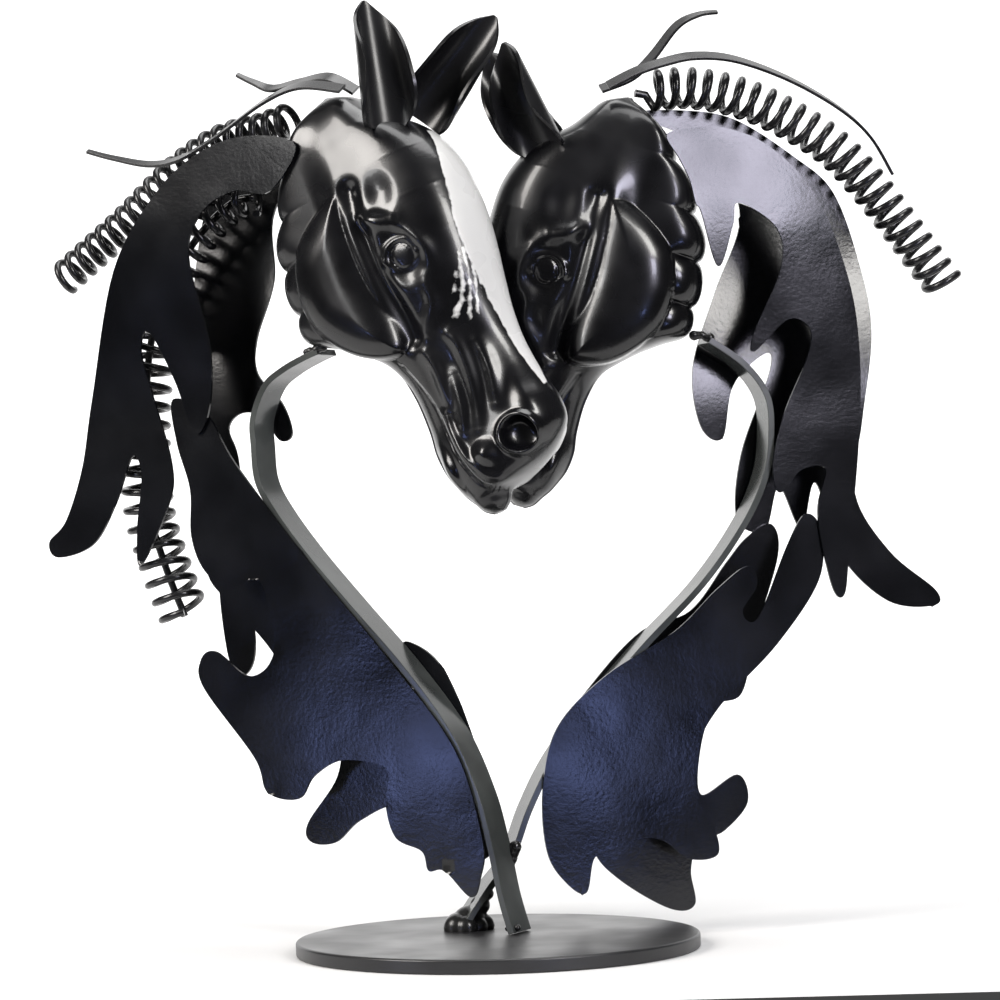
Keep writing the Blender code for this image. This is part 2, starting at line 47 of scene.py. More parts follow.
# Sizes that the model is built from.
GAP = 0.3                  # clearance between two separate pieces that touch
DISC_RADIUS = 62.5
DISC_THICK = 4.5
EDGE_ROUND = 0.8
BAR_WIDTH = 13.0           # across the horse's plane
BAR_THICK = 2.0
BAR_CLEAR = 2.2            # from the back edge of the left bar to the right bar, where they cross
SHEET = 1.0                # sheet metal of the mane plates, ears and wisps
LOW_OFFSET = BAR_WIDTH / 2 + GAP + SHEET / 2
TOP_OFFSET = LOW_OFFSET + SHEET + GAP
HEAD_OFFSET = 15.2         # half distance between the upper plates beside the head
RIM_OFFSET = 11.0          # the same for a plate that ends at the rim of the head's flange
FLARE = (165, 235)         # heights between which the upper plates spread to the head
WISP_WIDTH = 5.5
WISP_TIP = 0.35            # width at the tip as a share of the width at the root
WISP_TAPER = (0.4, 1)      # shares of the length between which a wisp narrows
WISP_TILT = math.radians(28)
INNER_OFFSET = 3.0         # the inner spring and its rod, behind the horse's plane
ROD_RADIUS = 1.2

# Fineness of the visible surfaces.
DISC_SEGMENTS = 160
SHEET_ROUND = 0.18         # rounding of a sheet's edges
SHEET_EDGE = math.radians(50)           # sharper edges of a sheet than this are rounded
STRIP_PARTS = 10           # straight parts between two points of a bar's or wisp's path
STRIP_COLUMNS = 4
PLATE_PARTS = 8            # the same between two points of a plate's outline
AXIS_PARTS = 16            # the same along the axis of a spring
ROD_PARTS = 10
COIL_STEPS = 24            # points on each turn of a spring
CUT_STEP = 4.0             # spacing of the cuts that let a plate bend
LAST_CUT = 0.5             # no cut comes nearer than this to a plate's far edge
WAVE_HEIGHT = 0.25         # slow waves in a plate
WAVE_LENGTH = 28
WELD_VOXEL = 0.35
WELD_SMOOTHING = 6


class Horse:
    """The upright plane of one horse, through X and Y and turned about Z."""

    def __init__(self, x, y, turn):
        self.x, self.y = x, y
        self.turn = math.radians(turn)
        self.across = Vector((-math.sin(self.turn), math.cos(self.turn), 0))

    def at(self, x, z, offset):
        """The point that is seen at this X and Z, so far behind the plane."""
        run = (x - self.x + offset * math.sin(self.turn)) / math.cos(self.turn)
        depth = self.y + run * math.sin(self.turn) + offset * math.cos(self.turn)
        return Vector((x, depth, z)) * MM


LEFT = Horse(5.0, 7.0, -25)
RIGHT = Horse(LEFT.x, LEFT.y + BAR_WIDTH + BAR_CLEAR, 13)

# Outlines of the plates as X and Z in millimetres, as they are seen from the front.
LEFT_UPPER_FRONT = (
    (-57, 252), (-72, 256), (-88, 252), (-103, 240), (-118, 216), (-127, 175), (-131, 153),
    (-137, 136), (-143, 129), (-140, 124), (-128, 128), (-120, 141), (-114, 156), (-111, 150),
    (-113, 132), (-112, 121), (-102, 141), (-101, 154), (-107, 177), (-110, 190), (-107, 196),
    (-99, 180), (-93, 163), (-88, 170), (-87, 190), (-93, 219), (-88, 233), (-77, 239), (-66, 238))
LEFT_LOWER_FRONT = (
    (-100, 174), (-89, 169), (-80, 153), (-59, 124), (-32, 90), (-12, 62), (-4, 34), (-5, 22),
    (-8, 16), (-16, 24), (-21, 24), (-23, 30), (-31, 34), (-34, 44), (-33, 55), (-40, 58),
    (-49, 58), (-57, 53), (-62, 46), (-72, 48), (-76, 59), (-92, 81), (-93, 90), (-88, 93),
    (-77, 85), (-69, 92), (-71, 111), (-75, 116), (-83, 113), (-91, 119), (-95, 130), (-95, 145),
    (-99, 160))
LEFT_UPPER_BACK = (
    (-58, 253), (-71, 251), (-82, 245), (-90, 234), (-95, 200), (-96, 174), (-89, 138),
    (-87, 105), (-84, 87), (-79, 85), (-76, 95), (-79, 122), (-80, 153), (-83, 164), (-79, 169),
    (-72, 168), (-66, 160), (-62, 162), (-65, 172), (-73, 182), (-73, 193), (-67, 212),
    (-67, 232))
LEFT_LOWER_BACK = (
    (-83, 151), (-71, 139), (-45, 106), (-32, 92), (-26, 95), (-15, 86), (-5, 60), (0, 35),
    (-5, 26), (-14, 35), (-30, 43), (-43, 38), (-51, 31), (-59, 31), (-60, 37), (-50, 52),
    (-50, 64), (-62, 71), (-69, 90), (-81, 105), (-91, 117), (-91, 135))
RIGHT_UPPER_FRONT = (
    (59.5, 252.5), (66, 254.5), (77, 255), (92, 249), (107, 233), (117, 206), (120, 182), (119, 155),
    (115, 120), (113, 106), (109, 109), (105, 132), (108, 146), (100, 146), (93, 139), (91, 148),
    (95, 164), (103, 182), (104, 191), (97, 194), (86, 184), (86, 190), (95, 210), (94, 223),
    (82, 231), (80, 224), (75, 211), (70, 228), (68.3, 231), (66.5, 238.5), (63.2, 245.5))
RIGHT_UPPER_BACK = (
    (48, 262), (66, 263), (83, 260), (102, 248), (115, 236), (123, 212), (126, 190), (122, 162),
    (119, 138), (130, 119), (145, 106), (144, 101), (129, 103), (114, 118), (106, 142),
    (101, 127), (94, 141), (89, 127), (80, 131), (82, 152), (92, 178), (91, 184), (80, 174),
    (76, 157), (69, 161), (67, 180), (75, 204), (84, 228), (77, 247), (64, 256))
RIGHT_LOWER_FRONT = (
    (101, 132), (95, 122), (87, 103), (83, 98), (80, 102), (85, 110), (82, 116), (72, 109),
    (58, 96), (36, 83), (20, 67), (15, 47), (16, 28), (22, 18), (28, 15), (31, 26), (38, 25),
    (45, 31), (53, 30), (61, 24), (70, 25), (69, 34), (64, 44), (64, 58), (72, 72), (91, 91),
    (105, 111), (106, 127))
RIGHT_LOWER_BACK = (
    (83, 125), (91, 129), (93, 119), (85, 94), (80, 75), (71, 71), (66, 57), (66, 43), (78, 49),
    (81, 40), (73, 31), (65, 28), (62, 19), (63, 8), (55, 7), (39, 17), (31, 27), (32, 42),
    (26, 54), (18, 46), (19, 62), (32, 80), (48, 96), (64, 102), (76, 117))

# Paths of the bars, wisps and springs, from the head on.
LEFT_BAR = (
    (-52.5, 187.4), (-57, 185.6), (-64, 182), (-70, 177), (-74, 167), (-74, 158), (-73, 147),
    (-68, 137), (-58, 123), (-44, 106), (-28, 87), (-14, 67), (-6, 48), (-2, 32), (1, 16),
    (4, DISC_THICK + GAP))
RIGHT_BAR = (
    (72, 188), (83, 180), (90, 170), (91, 158), (89, 145), (82, 130), (68, 111), (48, 91),
    (30, 71), (19, 57), (11, 42), (5, 27), (-2, 18), (-9, 8))
LEFT_SHORT_WISP = ((-39, 268), (-48, 273), (-58, 272), (-66, 271), (-72, 274), (-77, 277))
LEFT_LONG_WISP = (
    (-43, 268), (-56, 270), (-68, 266), (-84, 256), (-96, 250), (-106, 249), (-118, 252),
    (-127, 255))
RIGHT_SHORT_WISP = ((40, 267.5), (50, 271.5), (57, 278), (65, 288), (72, 292), (78, 293))
RIGHT_LONG_WISP = (
    (42, 267.5), (51, 272), (60, 275), (70, 277), (83, 276), (100, 270), (116, 261), (126, 252),
    (133, 240))
LEFT_CREST = (
    (-58.5, 262), (-69, 259), (-83, 256), (-98, 247), (-114, 233), (-128, 222), (-137, 215))
LEFT_INNER = (
    (-72, 238), (-79, 237), (-90, 228), (-99, 215), (-107, 197), (-110, 178), (-111, 158),
    (-110, 138), (-105, 120), (-99, 104))
RIGHT_CREST = (
    (56, 268), (68, 269), (84, 266), (100, 259), (115, 249), (126, 237), (136, 224), (144, 213),
    (150, 205))
# Start of the right crest spring's wire, from the top of the head to its first ring.
RIGHT_LEAD = ((50.4, 267.4), (53.8, 266.8))

# Springs: distance behind the plane, first and last ring radius, pitch, thickness of the wire.
LEFT_CREST_COIL = (0, 4.8, 4.8, 4.75, 2.4)
LEFT_INNER_COIL = (INNER_OFFSET, 5.2, 7.4, 6.0, 2.4)
RIGHT_CREST_COIL = (4, 5.6, 5.6, 5.2, 2.6)

# Wisps: horse, path, distance behind the plane.
WISPS = {
    "left_short_wisp": (LEFT, LEFT_SHORT_WISP, -1),
    "left_long_wisp": (LEFT, LEFT_LONG_WISP, -9),
    "right_short_wisp": (RIGHT, RIGHT_SHORT_WISP, 5),
    "right_long_wisp": (RIGHT, RIGHT_LONG_WISP, -4)}

# Rows of weld lumps: horse, first and last X and Z, distance behind the plane, number, radius.
WELD_ROWS = {
    "left_foot_weld": (LEFT, (3, 6), (6, 6), -4, 4, 1.0),
    "crossing_weld": (LEFT, (4, 26), (6, 30), 7, 4, 1.8),
    "left_jaw_weld": (LEFT, (-56, 187.2), (-50.5, 188.8), -5, 6, 1.4),
    "right_jaw_weld": (RIGHT, (67, 190), (72, 189), -4, 5, 1.4),
    "left_plate_weld": (LEFT, (-27, 82), (-24, 79), -6, 4, 1.1),
    "right_plate_weld": (RIGHT, (16, 52), (17, 49), -6, 4, 1.1)}

# The large weld on the disc: X, Z and radius of the lumps up the right bar, and below them the
# X and Z, the radius and the lumps of the ring round its foot.
FOOT_LUMPS = ((-9, 6.5, 5.6), (-5.5, 12, 3.2), (-3, 15.5, 2))
RING_MIDDLE = (-9, 5.6)
RING_RADIUS = 4.2
RING_LUMPS = 7
RING_SIZE = (3.8, 0.6)     # radius of a lump in the ring, and how much it varies
WELD_WOBBLE = 0.5          # how far a lump lies above or below its row
WELD_UNEVEN = 0.2          # how much a lump's radius varies, as a share of it


# Curves and meshes

def spline(points, parts, closed=False):
    """Smooth curve through the points, with so many straight parts between two of them."""
    count = len(points)
    spans = count if closed else count - 1
    curve = []
    for i in range(spans):
        around = []
        for k in (i - 1, i, i + 1, i + 2):
            around.append(points[k % count] if closed else points[min(max(k, 0), count - 1)])
        for j in range(parts):
            curve.append(blend(around, j / parts))
    if not closed:
        curve.append(tuple(points[-1]))
    return curve


def blend(around, t):
    """A point on the smooth curve between the two middle ones of four points."""
    weights = (-t + 2 * t * t - t ** 3, 2 - 5 * t * t + 3 * t ** 3,
               t + 4 * t * t - 3 * t ** 3, t ** 3 - t * t)
    size = len(around[0])
    return tuple(sum(w * p[k] for w, p in zip(weights, around)) / 2 for k in range(size))


def ramp(value, low, high):
    """Smooth step from 0 to 1, for numbers and arrays."""
    t = np.clip((value - low) / (high - low), 0.0, 1.0)
    return t * t * (3 - 2 * t)


def add_piece(name, data, material, node=None):
    """A mesh or curve that rides with the statue, and stands for a node where one is given."""
    data.materials.append(material)
    obj = bpy.data.objects.new(name, data)
    bpy.context.scene.collection.objects.link(obj)
    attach(obj, "root")
    if node:
        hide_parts(node)
    return obj


def mesh_from(name, shape):
    """Smooth mesh from a bmesh, with its normals outwards."""
    bmesh.ops.recalc_face_normals(shape, faces=shape.faces)
    mesh = bpy.data.meshes.new(name)
    shape.to_mesh(mesh)
    shape.free()
    mesh.shade_smooth()
    return mesh


def grid_mesh(name, rows):
    """Open surface through rows of points."""
    shape = bmesh.new()
    verts = [[shape.verts.new(p) for p in row] for row in rows]
    for low, high in zip(verts, verts[1:]):
        for k in range(len(low) - 1):
            shape.faces.new((low[k], low[k + 1], high[k + 1], high[k]))
    return mesh_from(name, shape)


def round_edges(obj, name, width, segments):
    """Rounds an object's sharp edges."""
    rim = obj.modifiers.new(name, "BEVEL")
    rim.width = width * MM
    rim.segments = segments
    rim.limit_method = "ANGLE"
    rim.harden_normals = True
    return rim


def as_sheet(obj, thick):
    """Gives an open surface its thickness and slightly rounded edges."""
    shell = obj.modifiers.new("sheet", "SOLIDIFY")
    shell.thickness = thick * MM
    shell.offset = 0
    rim = round_edges(obj, "edge", SHEET_ROUND, 2)
    rim.angle_limit = SHEET_EDGE


# Materials

NOISE_LOW, NOISE_HIGH = 0.3, 0.7        # values that most of a noise lies between
SLOW_SCALE = 45            # slow noise of tint, gloss and waviness
HEAD_SLOW_SCALE = 60       # the same on the heads
PEEL_SCALE = 900
TINT_SPREAD = (0.75, 1.35)              # darkest and lightest tint as shares of the colour
TINT_STOPS = (0.35, 0.65)               # noise values where these two tints are reached
PEEL_DEPTH = 0.05          # full height of the orange peel, in millimetres
WAVE_DEPTH = 0.6           # full height of the waviness
COAT_ROUGH = 0.08
HEAD_COAT = 0.3            # weight of the clear coat on the heads
HEAD_ROUGH = (0.2, 0.34)
HEAD_PEEL = 0.12           # strength of the orange peel on the heads
HEAD_WAVE = (0.25, 0.5)    # strength and full height of their waviness
HEAD_BLACK = ((NOISE_LOW, (0.0025, 0.0025, 0.0032)), (NOISE_HIGH, (0.005, 0.005, 0.0065)))
WHITE_PAINT = (0.78, 0.78, 0.76, 1)
WHITE_RAISED = (0.6, 0.12)              # strength and full height of its edge on the black
BRUSH_SCALE = 420          # noise that breaks the edge of the white paint
BRUSH_STRENGTH = 0.3       # how much that noise adds to the blaze's value
BRUSH_EDGE = (0.62, 0.7)   # sums between which black turns to white


def new_material(name):
    """A material with its nodes, its links and its main shader."""
    material = bpy.data.materials.new(name)
    material.use_nodes = True
    nodes, links = material.node_tree.nodes, material.node_tree.links
    return material, nodes, links, nodes["Principled BSDF"]


def texture_noise(nodes, links, scale, detail=2):
    """Noise that lies still on the object."""
    where = nodes.new("ShaderNodeTexCoord")
    made = nodes.new("ShaderNodeTexNoise")
    made.inputs["Scale"].default_value = scale
    made.inputs["Detail"].default_value = detail
    links.new(where.outputs["Object"], made.inputs["Vector"])
    return made


def colour_ramp(nodes, links, source, stops):
    """Colours from the first stop to the second, each a value and its colour."""
    made = nodes.new("ShaderNodeValToRGB")
    for element, (position, colour) in zip(made.color_ramp.elements, stops):
        element.position = position
        element.color = (*colour, 1)
    links.new(source, made.inputs["Fac"])
    return made


def map_range(nodes, links, source, low, high, start=NOISE_LOW, end=NOISE_HIGH):
    """Carries the values from start to end over to those from low to high."""
    made = nodes.new("ShaderNodeMapRange")
    made.inputs["From Min"].default_value = start
    made.inputs["From Max"].default_value = end
    made.inputs["To Min"].default_value = low
    made.inputs["To Max"].default_value = high
    links.new(source, made.inputs["Value"])
    return made


def bump(nodes, links, source, strength, distance, below=None):
    """Bump of this full height, on top of the one below."""
    made = nodes.new("ShaderNodeBump")
    made.inputs["Strength"].default_value = strength
    made.inputs["Distance"].default_value = distance * MM
    links.new(source, made.inputs["Height"])
    if below:
        links.new(below.outputs["Normal"], made.inputs["Normal"])
    return made


def coat_shader(links, shader, gloss, skin, coat):
    """Gives a shader its roughness and skin, under a clear coat of this weight."""
    links.new(gloss.outputs["Result"], shader.inputs["Roughness"])
    links.new(skin.outputs["Normal"], shader.inputs["Normal"])
    shader.inputs["Coat Weight"].default_value = coat
    shader.inputs["Coat Roughness"].default_value = COAT_ROUGH


def coated_metal(name, colour, rough, peel, peel_scale, wave=0.0):
    """Painted metal: orange peel, slow waviness and uneven gloss."""
    material, nodes, links, shader = new_material(name)
    slow = texture_noise(nodes, links, SLOW_SCALE)
    fine = texture_noise(nodes, links, peel_scale)
    low, high = (tuple(share * c for c in colour) for share in TINT_SPREAD)
    tint = colour_ramp(nodes, links, slow.outputs["Fac"], zip(TINT_STOPS, (low, high)))
    links.new(tint.outputs["Color"], shader.inputs["Base Color"])
    gloss = map_range(nodes, links, slow.outputs["Fac"], *rough)
    skin = bump(nodes, links, fine.outputs["Fac"], peel, PEEL_DEPTH)
    if wave:
        skin = bump(nodes, links, slow.outputs["Fac"], wave, WAVE_DEPTH, skin)
    coat_shader(links, shader, gloss, skin, 0)
    return material


def blaze_and_reflection_mask(nodes, links):
    """White where the mesh's value 'blaze' is high, with an edge broken up as by a brush. That value
    also holds the painted reflection beside the blaze.
    """
    mark = nodes.new("ShaderNodeAttribute")
    mark.attribute_name = "blaze"
    streaks = texture_noise(nodes, links, BRUSH_SCALE, 4)
    edge = nodes.new("ShaderNodeMath")
    edge.operation = "MULTIPLY_ADD"
    links.new(streaks.outputs["Fac"], edge.inputs[0])
    edge.inputs[1].default_value = BRUSH_STRENGTH
    links.new(mark.outputs["Fac"], edge.inputs[2])
    return map_range(nodes, links, edge.outputs["Value"], 0, 1, *BRUSH_EDGE)


def head_paint():
    """Gloss black paint with a hand-brushed white blaze, and grey streaks beside it that are a
    painted reflection.
    """
    material, nodes, links, shader = new_material("head_paint")
    mask = blaze_and_reflection_mask(nodes, links)
    slow = texture_noise(nodes, links, HEAD_SLOW_SCALE)
    black = colour_ramp(nodes, links, slow.outputs["Fac"], HEAD_BLACK)
    # Black mixed with white by the blaze and by the painted reflection beside it.
    paint = nodes.new("ShaderNodeMix")
    paint.data_type = "RGBA"
    links.new(mask.outputs["Result"], paint.inputs["Factor"])
    links.new(black.outputs["Color"], paint.inputs["A"])
    paint.inputs["B"].default_value = WHITE_PAINT
    links.new(paint.outputs["Result"], shader.inputs["Base Color"])
    gloss = map_range(nodes, links, slow.outputs["Fac"], *HEAD_ROUGH)
    fine = texture_noise(nodes, links, PEEL_SCALE)
    skin = bump(nodes, links, fine.outputs["Fac"], HEAD_PEEL, PEEL_DEPTH)
    skin = bump(nodes, links, slow.outputs["Fac"], *HEAD_WAVE, skin)
    skin = bump(nodes, links, mask.outputs["Result"], *WHITE_RAISED, skin)
    coat_shader(links, shader, gloss, skin, HEAD_COAT)
    return material


# Colour, least and most roughness, strength and scale of the orange peel, and waviness.
DISC_PAINT = coated_metal("disc_paint", (0.018, 0.018, 0.019), (0.3, 0.42), 0.25, PEEL_SCALE)
# The bars' colour is lighter than the other black paints: painted sheen, standing in for the light
# their inner faces reflect.
BAR_PAINT_AND_SHEEN = coated_metal("bar_paint_and_sheen", (0.06, 0.065, 0.062), (0.16, 0.24), 0.12, PEEL_SCALE)
PLATE_PAINT = coated_metal("plate_paint", (0.003, 0.0033, 0.0045), (0.15, 0.22), 0.6, 800, 0.35)
WISP_PAINT = coated_metal("wisp_paint", (0.012, 0.012, 0.013), (0.2, 0.3), 0.12, PEEL_SCALE)
WELD_PAINT = coated_metal("weld_paint", (0.012, 0.012, 0.012), (0.2, 0.35), 0.4, 500, 0.5)
WIRE_PAINT = coated_metal("wire_paint", (0.012, 0.012, 0.013), (0.18, 0.28), 0.1, PEEL_SCALE)
HEAD_PAINT = head_paint()
EAR_PAINT = coated_metal("ear_paint", (0.01, 0.01, 0.011), (0.2, 0.3), 0.15, PEEL_SCALE, 0.2)


# Base, bars, welds and wisps

def disc():
    """The round base plate."""
    shape = bmesh.new()
    bmesh.ops.create_cone(shape, cap_ends=True, segments=DISC_SEGMENTS, radius1=DISC_RADIUS * MM,
                          radius2=DISC_RADIUS * MM, depth=DISC_THICK * MM)
    bmesh.ops.translate(shape, verts=shape.verts, vec=(0, 0, DISC_THICK / 2 * MM))
    piece = add_piece("base_disc_fine", mesh_from("base_disc_fine", shape), DISC_PAINT, "base_disc")
    round_edges(piece, "round edge", EDGE_ROUND, 4)


def strip(node, horse, path, middle, width, thick, material, tilt=0.0, tip=1.0):
    """Flat strip bent along the path. Its width lies across the horse's plane, or rises from
    there by the tilt away from the viewer, and narrows to the share tip at the far end."""
    name = node + "_fine"
    over = (horse.across * math.cos(tilt) + Vector((0, 0, math.sin(tilt)))) * width * MM
    line = spline(path, STRIP_PARTS)
    rows = []
    for i, (x, z) in enumerate(line):
        share = 1 - (1 - tip) * float(ramp(i / (len(line) - 1), *WISP_TAPER))
        start = horse.at(x, z, middle - share * width / 2)
        rows.append([start + over * share * (k / STRIP_COLUMNS) for k in range(STRIP_COLUMNS + 1)])
    as_sheet(add_piece(name, grid_mesh(name, rows), material, node), thick)


def weld_bead(name, lumps):
    """Uneven weld metal: overlapping balls made into one skin."""
    shape = bmesh.new()
    for centre, size in lumps:
        made = bmesh.ops.create_icosphere(shape, subdivisions=3, radius=size * MM)
        for vert in made["verts"]:
            vert.co += centre
    piece = add_piece(name, mesh_from(name, shape), WELD_PAINT)
    skin = piece.modifiers.new("skin", "REMESH")
    skin.mode = "VOXEL"
    skin.voxel_size = WELD_VOXEL * MM
    skin.use_smooth_shade = True
    soft = piece.modifiers.new("soft", "SMOOTH")
    soft.iterations = WELD_SMOOTHING


def bead_row(horse, start, end, offset, count, size):
    """Places and sizes of a row of weld lumps, slightly uneven."""
    lumps = []
    for i in range(count):
        t = i / (count - 1)
        x = start[0] + (end[0] - start[0]) * t
        z = start[1] + (end[1] - start[1]) * t
        wobble = WELD_WOBBLE * math.sin(7 * i + x)
        radius = size * (1 + WELD_UNEVEN * math.sin(5 * i + z))
        lumps.append((horse.at(x, z + wobble, offset), radius))
    return lumps


def foot_weld():
    """Lumps in a ring on the disc round the right bar's foot, and smaller ones up the bar."""
    lumps = [(RIGHT.at(x, z, 0), size) for x, z, size in FOOT_LUMPS]
    for i in range(RING_LUMPS):
        angle = math.tau * i / RING_LUMPS
        place = RIGHT.at(RING_MIDDLE[0] + RING_RADIUS * math.cos(angle), RING_MIDDLE[1],
                         RING_RADIUS * math.sin(angle))
        lumps.append((place, RING_SIZE[0] + RING_SIZE[1] * math.sin(5 * i)))
    weld_bead("foot_weld", lumps)


def bars():
    strip("left_bar", LEFT, LEFT_BAR, 0, BAR_WIDTH, BAR_THICK, BAR_PAINT_AND_SHEEN)
    strip("right_bar", RIGHT, RIGHT_BAR, 0, BAR_WIDTH, BAR_THICK, BAR_PAINT_AND_SHEEN)


def welds():
    foot_weld()
    for name, row in WELD_ROWS.items():
        weld_bead(name, bead_row(*row))


def wisps():
    for node, (horse, path, offset) in WISPS.items():
        strip(node, horse, path, offset, WISP_WIDTH, SHEET, WISP_PAINT, WISP_TILT, WISP_TIP)


# Mane plates

def cut_across(shape, axis, low, high):
    """Cuts a flat shape at even steps along this axis."""
    normal = Vector((0, 0, 0))
    normal[axis] = 1
    level = low + CUT_STEP
    while level < high - LAST_CUT:
        whole = shape.verts[:] + shape.edges[:] + shape.faces[:]
        bmesh.ops.bisect_plane(shape, geom=whole, plane_co=normal * level, plane_no=normal)
        level += CUT_STEP


def plate(node, horse, outline, offset_at):
    """Bent sheet with this outline; offset_at gives its distance from the plane by height."""
    name = node + "_fine"
    shape = bmesh.new()
    edge = spline(outline, PLATE_PARTS, closed=True)
    shape.faces.new([shape.verts.new((x, 0, z)) for x, z in edge])
    for axis, values in zip((0, 2), zip(*edge)):
        cut_across(shape, axis, min(values), max(values))
    shape.normal_update()
    bmesh.ops.triangulate(shape, faces=[f for f in shape.faces if len(f.verts) > 4])
    for vert in shape.verts:
        x, z = vert.co.x, vert.co.z
        wave = WAVE_HEIGHT * noise.noise(Vector((x, z, horse.x)) / WAVE_LENGTH)
        vert.co = horse.at(x, z, offset_at(z) + wave)
    as_sheet(add_piece(name, mesh_from(name, shape), PLATE_PAINT, node), SHEET)


def upper_offset(side, spread):
    """Distance behind the plane by height: it grows to the spread beside the head."""
    return lambda z: side * (TOP_OFFSET + (spread - TOP_OFFSET) * float(ramp(z, *FLARE)))


def lower_offset(side):
    return lambda z: side * LOW_OFFSET


def plates():
    for word, horse, spread, outlines in (
            ("left", LEFT, HEAD_OFFSET,
             (LEFT_UPPER_FRONT, LEFT_UPPER_BACK, LEFT_LOWER_FRONT, LEFT_LOWER_BACK)),
            ("right", RIGHT, RIM_OFFSET,
             (RIGHT_UPPER_FRONT, RIGHT_UPPER_BACK, RIGHT_LOWER_FRONT, RIGHT_LOWER_BACK))):
        places = ("upper_front", "upper_back", "lower_front", "lower_back")
        offsets = (upper_offset(-1, spread), upper_offset(1, HEAD_OFFSET),
                   lower_offset(-1), lower_offset(1))
        for place, outline, offset in zip(places, outlines, offsets):
            plate(word + "_" + place + "_plate", horse, outline, offset)


# Springs and rod

def wire(node, line, radius):
    """Round wire along a line of points, with filled ends."""
    name = node + "_fine"
    curve = bpy.data.curves.new(name, "CURVE")
    curve.dimensions = "3D"
    curve.bevel_depth = radius * MM
    curve.bevel_resolution = 3
    curve.use_fill_caps = True
    run = curve.splines.new("POLY")
    run.points.add(len(line) - 1)
    run.use_smooth = True
    for bend, point in zip(run.points, line):
        bend.co = (*point, 1)
    add_piece(name, curve, WIRE_PAINT, node)


def even_line(line, step):
    """Points at even distances along a line, with the direction of each."""
    spots = []
    left = 0.0
    for a, b in zip(line, line[1:]):
        length = (b - a).length
        while left < length:
            spots.append((a.lerp(b, left / length), (b - a).normalized()))
            left += step
        left -= length
    return spots


def coil(node, horse, path, sizes, lead=()):
    """Coil spring round the path, with its ring radius changing over its first half. A lead is
    straight wire that runs to the bottom of the first ring."""
    offset, first_ring, last_ring, pitch, thick = sizes
    line = [horse.at(x, z, offset) for x, z in spline(path, AXIS_PARTS)]
    spots = even_line(line, pitch * MM / COIL_STEPS)
    helix = [horse.at(x, z, offset) for x, z in lead]
    first_angle = math.pi if lead else 0
    for i, (point, along) in enumerate(spots):
        share = i / (len(spots) - 1)
        radius = first_ring + (last_ring - first_ring) * float(ramp(share, 0, 0.5))
        side = along.cross(horse.across)
        angle = first_angle + math.tau * i / COIL_STEPS
        turned = side * math.cos(angle) + horse.across * math.sin(angle)
        helix.append(point + turned * radius * MM)
    wire(node, helix, thick / 2)


def springs():
    coil("left_crest_spring", LEFT, LEFT_CREST, LEFT_CREST_COIL)
    coil("left_inner_spring", LEFT, LEFT_INNER, LEFT_INNER_COIL)
    coil("right_crest_spring", RIGHT, RIGHT_CREST, RIGHT_CREST_COIL, RIGHT_LEAD)
    rod = [LEFT.at(x, z, INNER_OFFSET) for x, z in spline(LEFT_INNER, ROD_PARTS)]
    wire("left_rod", rod, ROD_RADIUS)


# Heads and ears. In a head's frame s runs down the face, v forward out of it and t away from
# the viewer, all from the poll.

# Along the face: distance down it, the face line, the line of the jaw or flange, half width.
HEAD_SECTIONS = (
    (-26, -25, -29, 4), (-23, -18.5, -34, 9), (-18, -14.5, -41, 12.5), (-12, -10, -47, 14.5),
    (-6, -3, -52.5, 15.5), (2, 2.6, -57.5, 17), (12, 5.8, -62.5, 18.6), (24, 6.2, -65, 19.6),
    (34, 5.4, -66, 19.4), (42, 4.2, -64.5, 18.4), (47, 3.2, -57, 17.2), (53, 2.2, -49.5, 15.6),
    (61, 1.2, -42.5, 13.8), (72, 1, -40, 12), (84, 2.4, -40, 11.6), (92, 4.2, -41, 12.5),
    (99, 3.7, -40.5, 13.3), (104, -0.4, -39, 13), (108, -7, -37.4, 12.4), (110.5, -15, -36, 11),
    (111.8, -22, -35.2, 9.6), (115, -24.5, -33.5, 7.5), (117, -27, -31, 4))
HEAD_TABLE = np.array(spline(HEAD_SECTIONS, 6))
HEAD_ROWS = 340
HEAD_AROUND = 284
FLANGE_HALF = HEAD_OFFSET - SHEET / 2 - GAP
LOBE_PITCH = 14.5
FIRST_NOTCH = 3.5
NOTCH_DEPTH = 2.8
NOTCH_THIN = 3.0           # how much the flange thins at a notch
LOBES_END = (42, 47)       # down the face, where the lobes of the flange run out
FLANGE_END = (48, 62)      # down the face, where the flange itself runs out
FLANGE_DEPTH = (28, 40)    # behind the poll, where the head widens to the flange
FLANGE_RIM = (50, 58)      # behind the poll, where the notches begin to thin the flange
FACE_POWER = (4.2, 2.6)    # squareness of a section at the brow and at the muzzle
POWER_CHANGE = (45, 75)    # down the face, where it goes from one to the other
RIM_POWER = 9              # squareness of the flange
FLANGE_INSET = 0.4         # how far the flange stays inside FLANGE_HALF
FLANGE_SPREAD = 6          # most that it stands out beyond the face's own form
MUZZLE_START = 57
RIGHT_MUZZLE = 0.86        # length of the right muzzle as a share of the left one

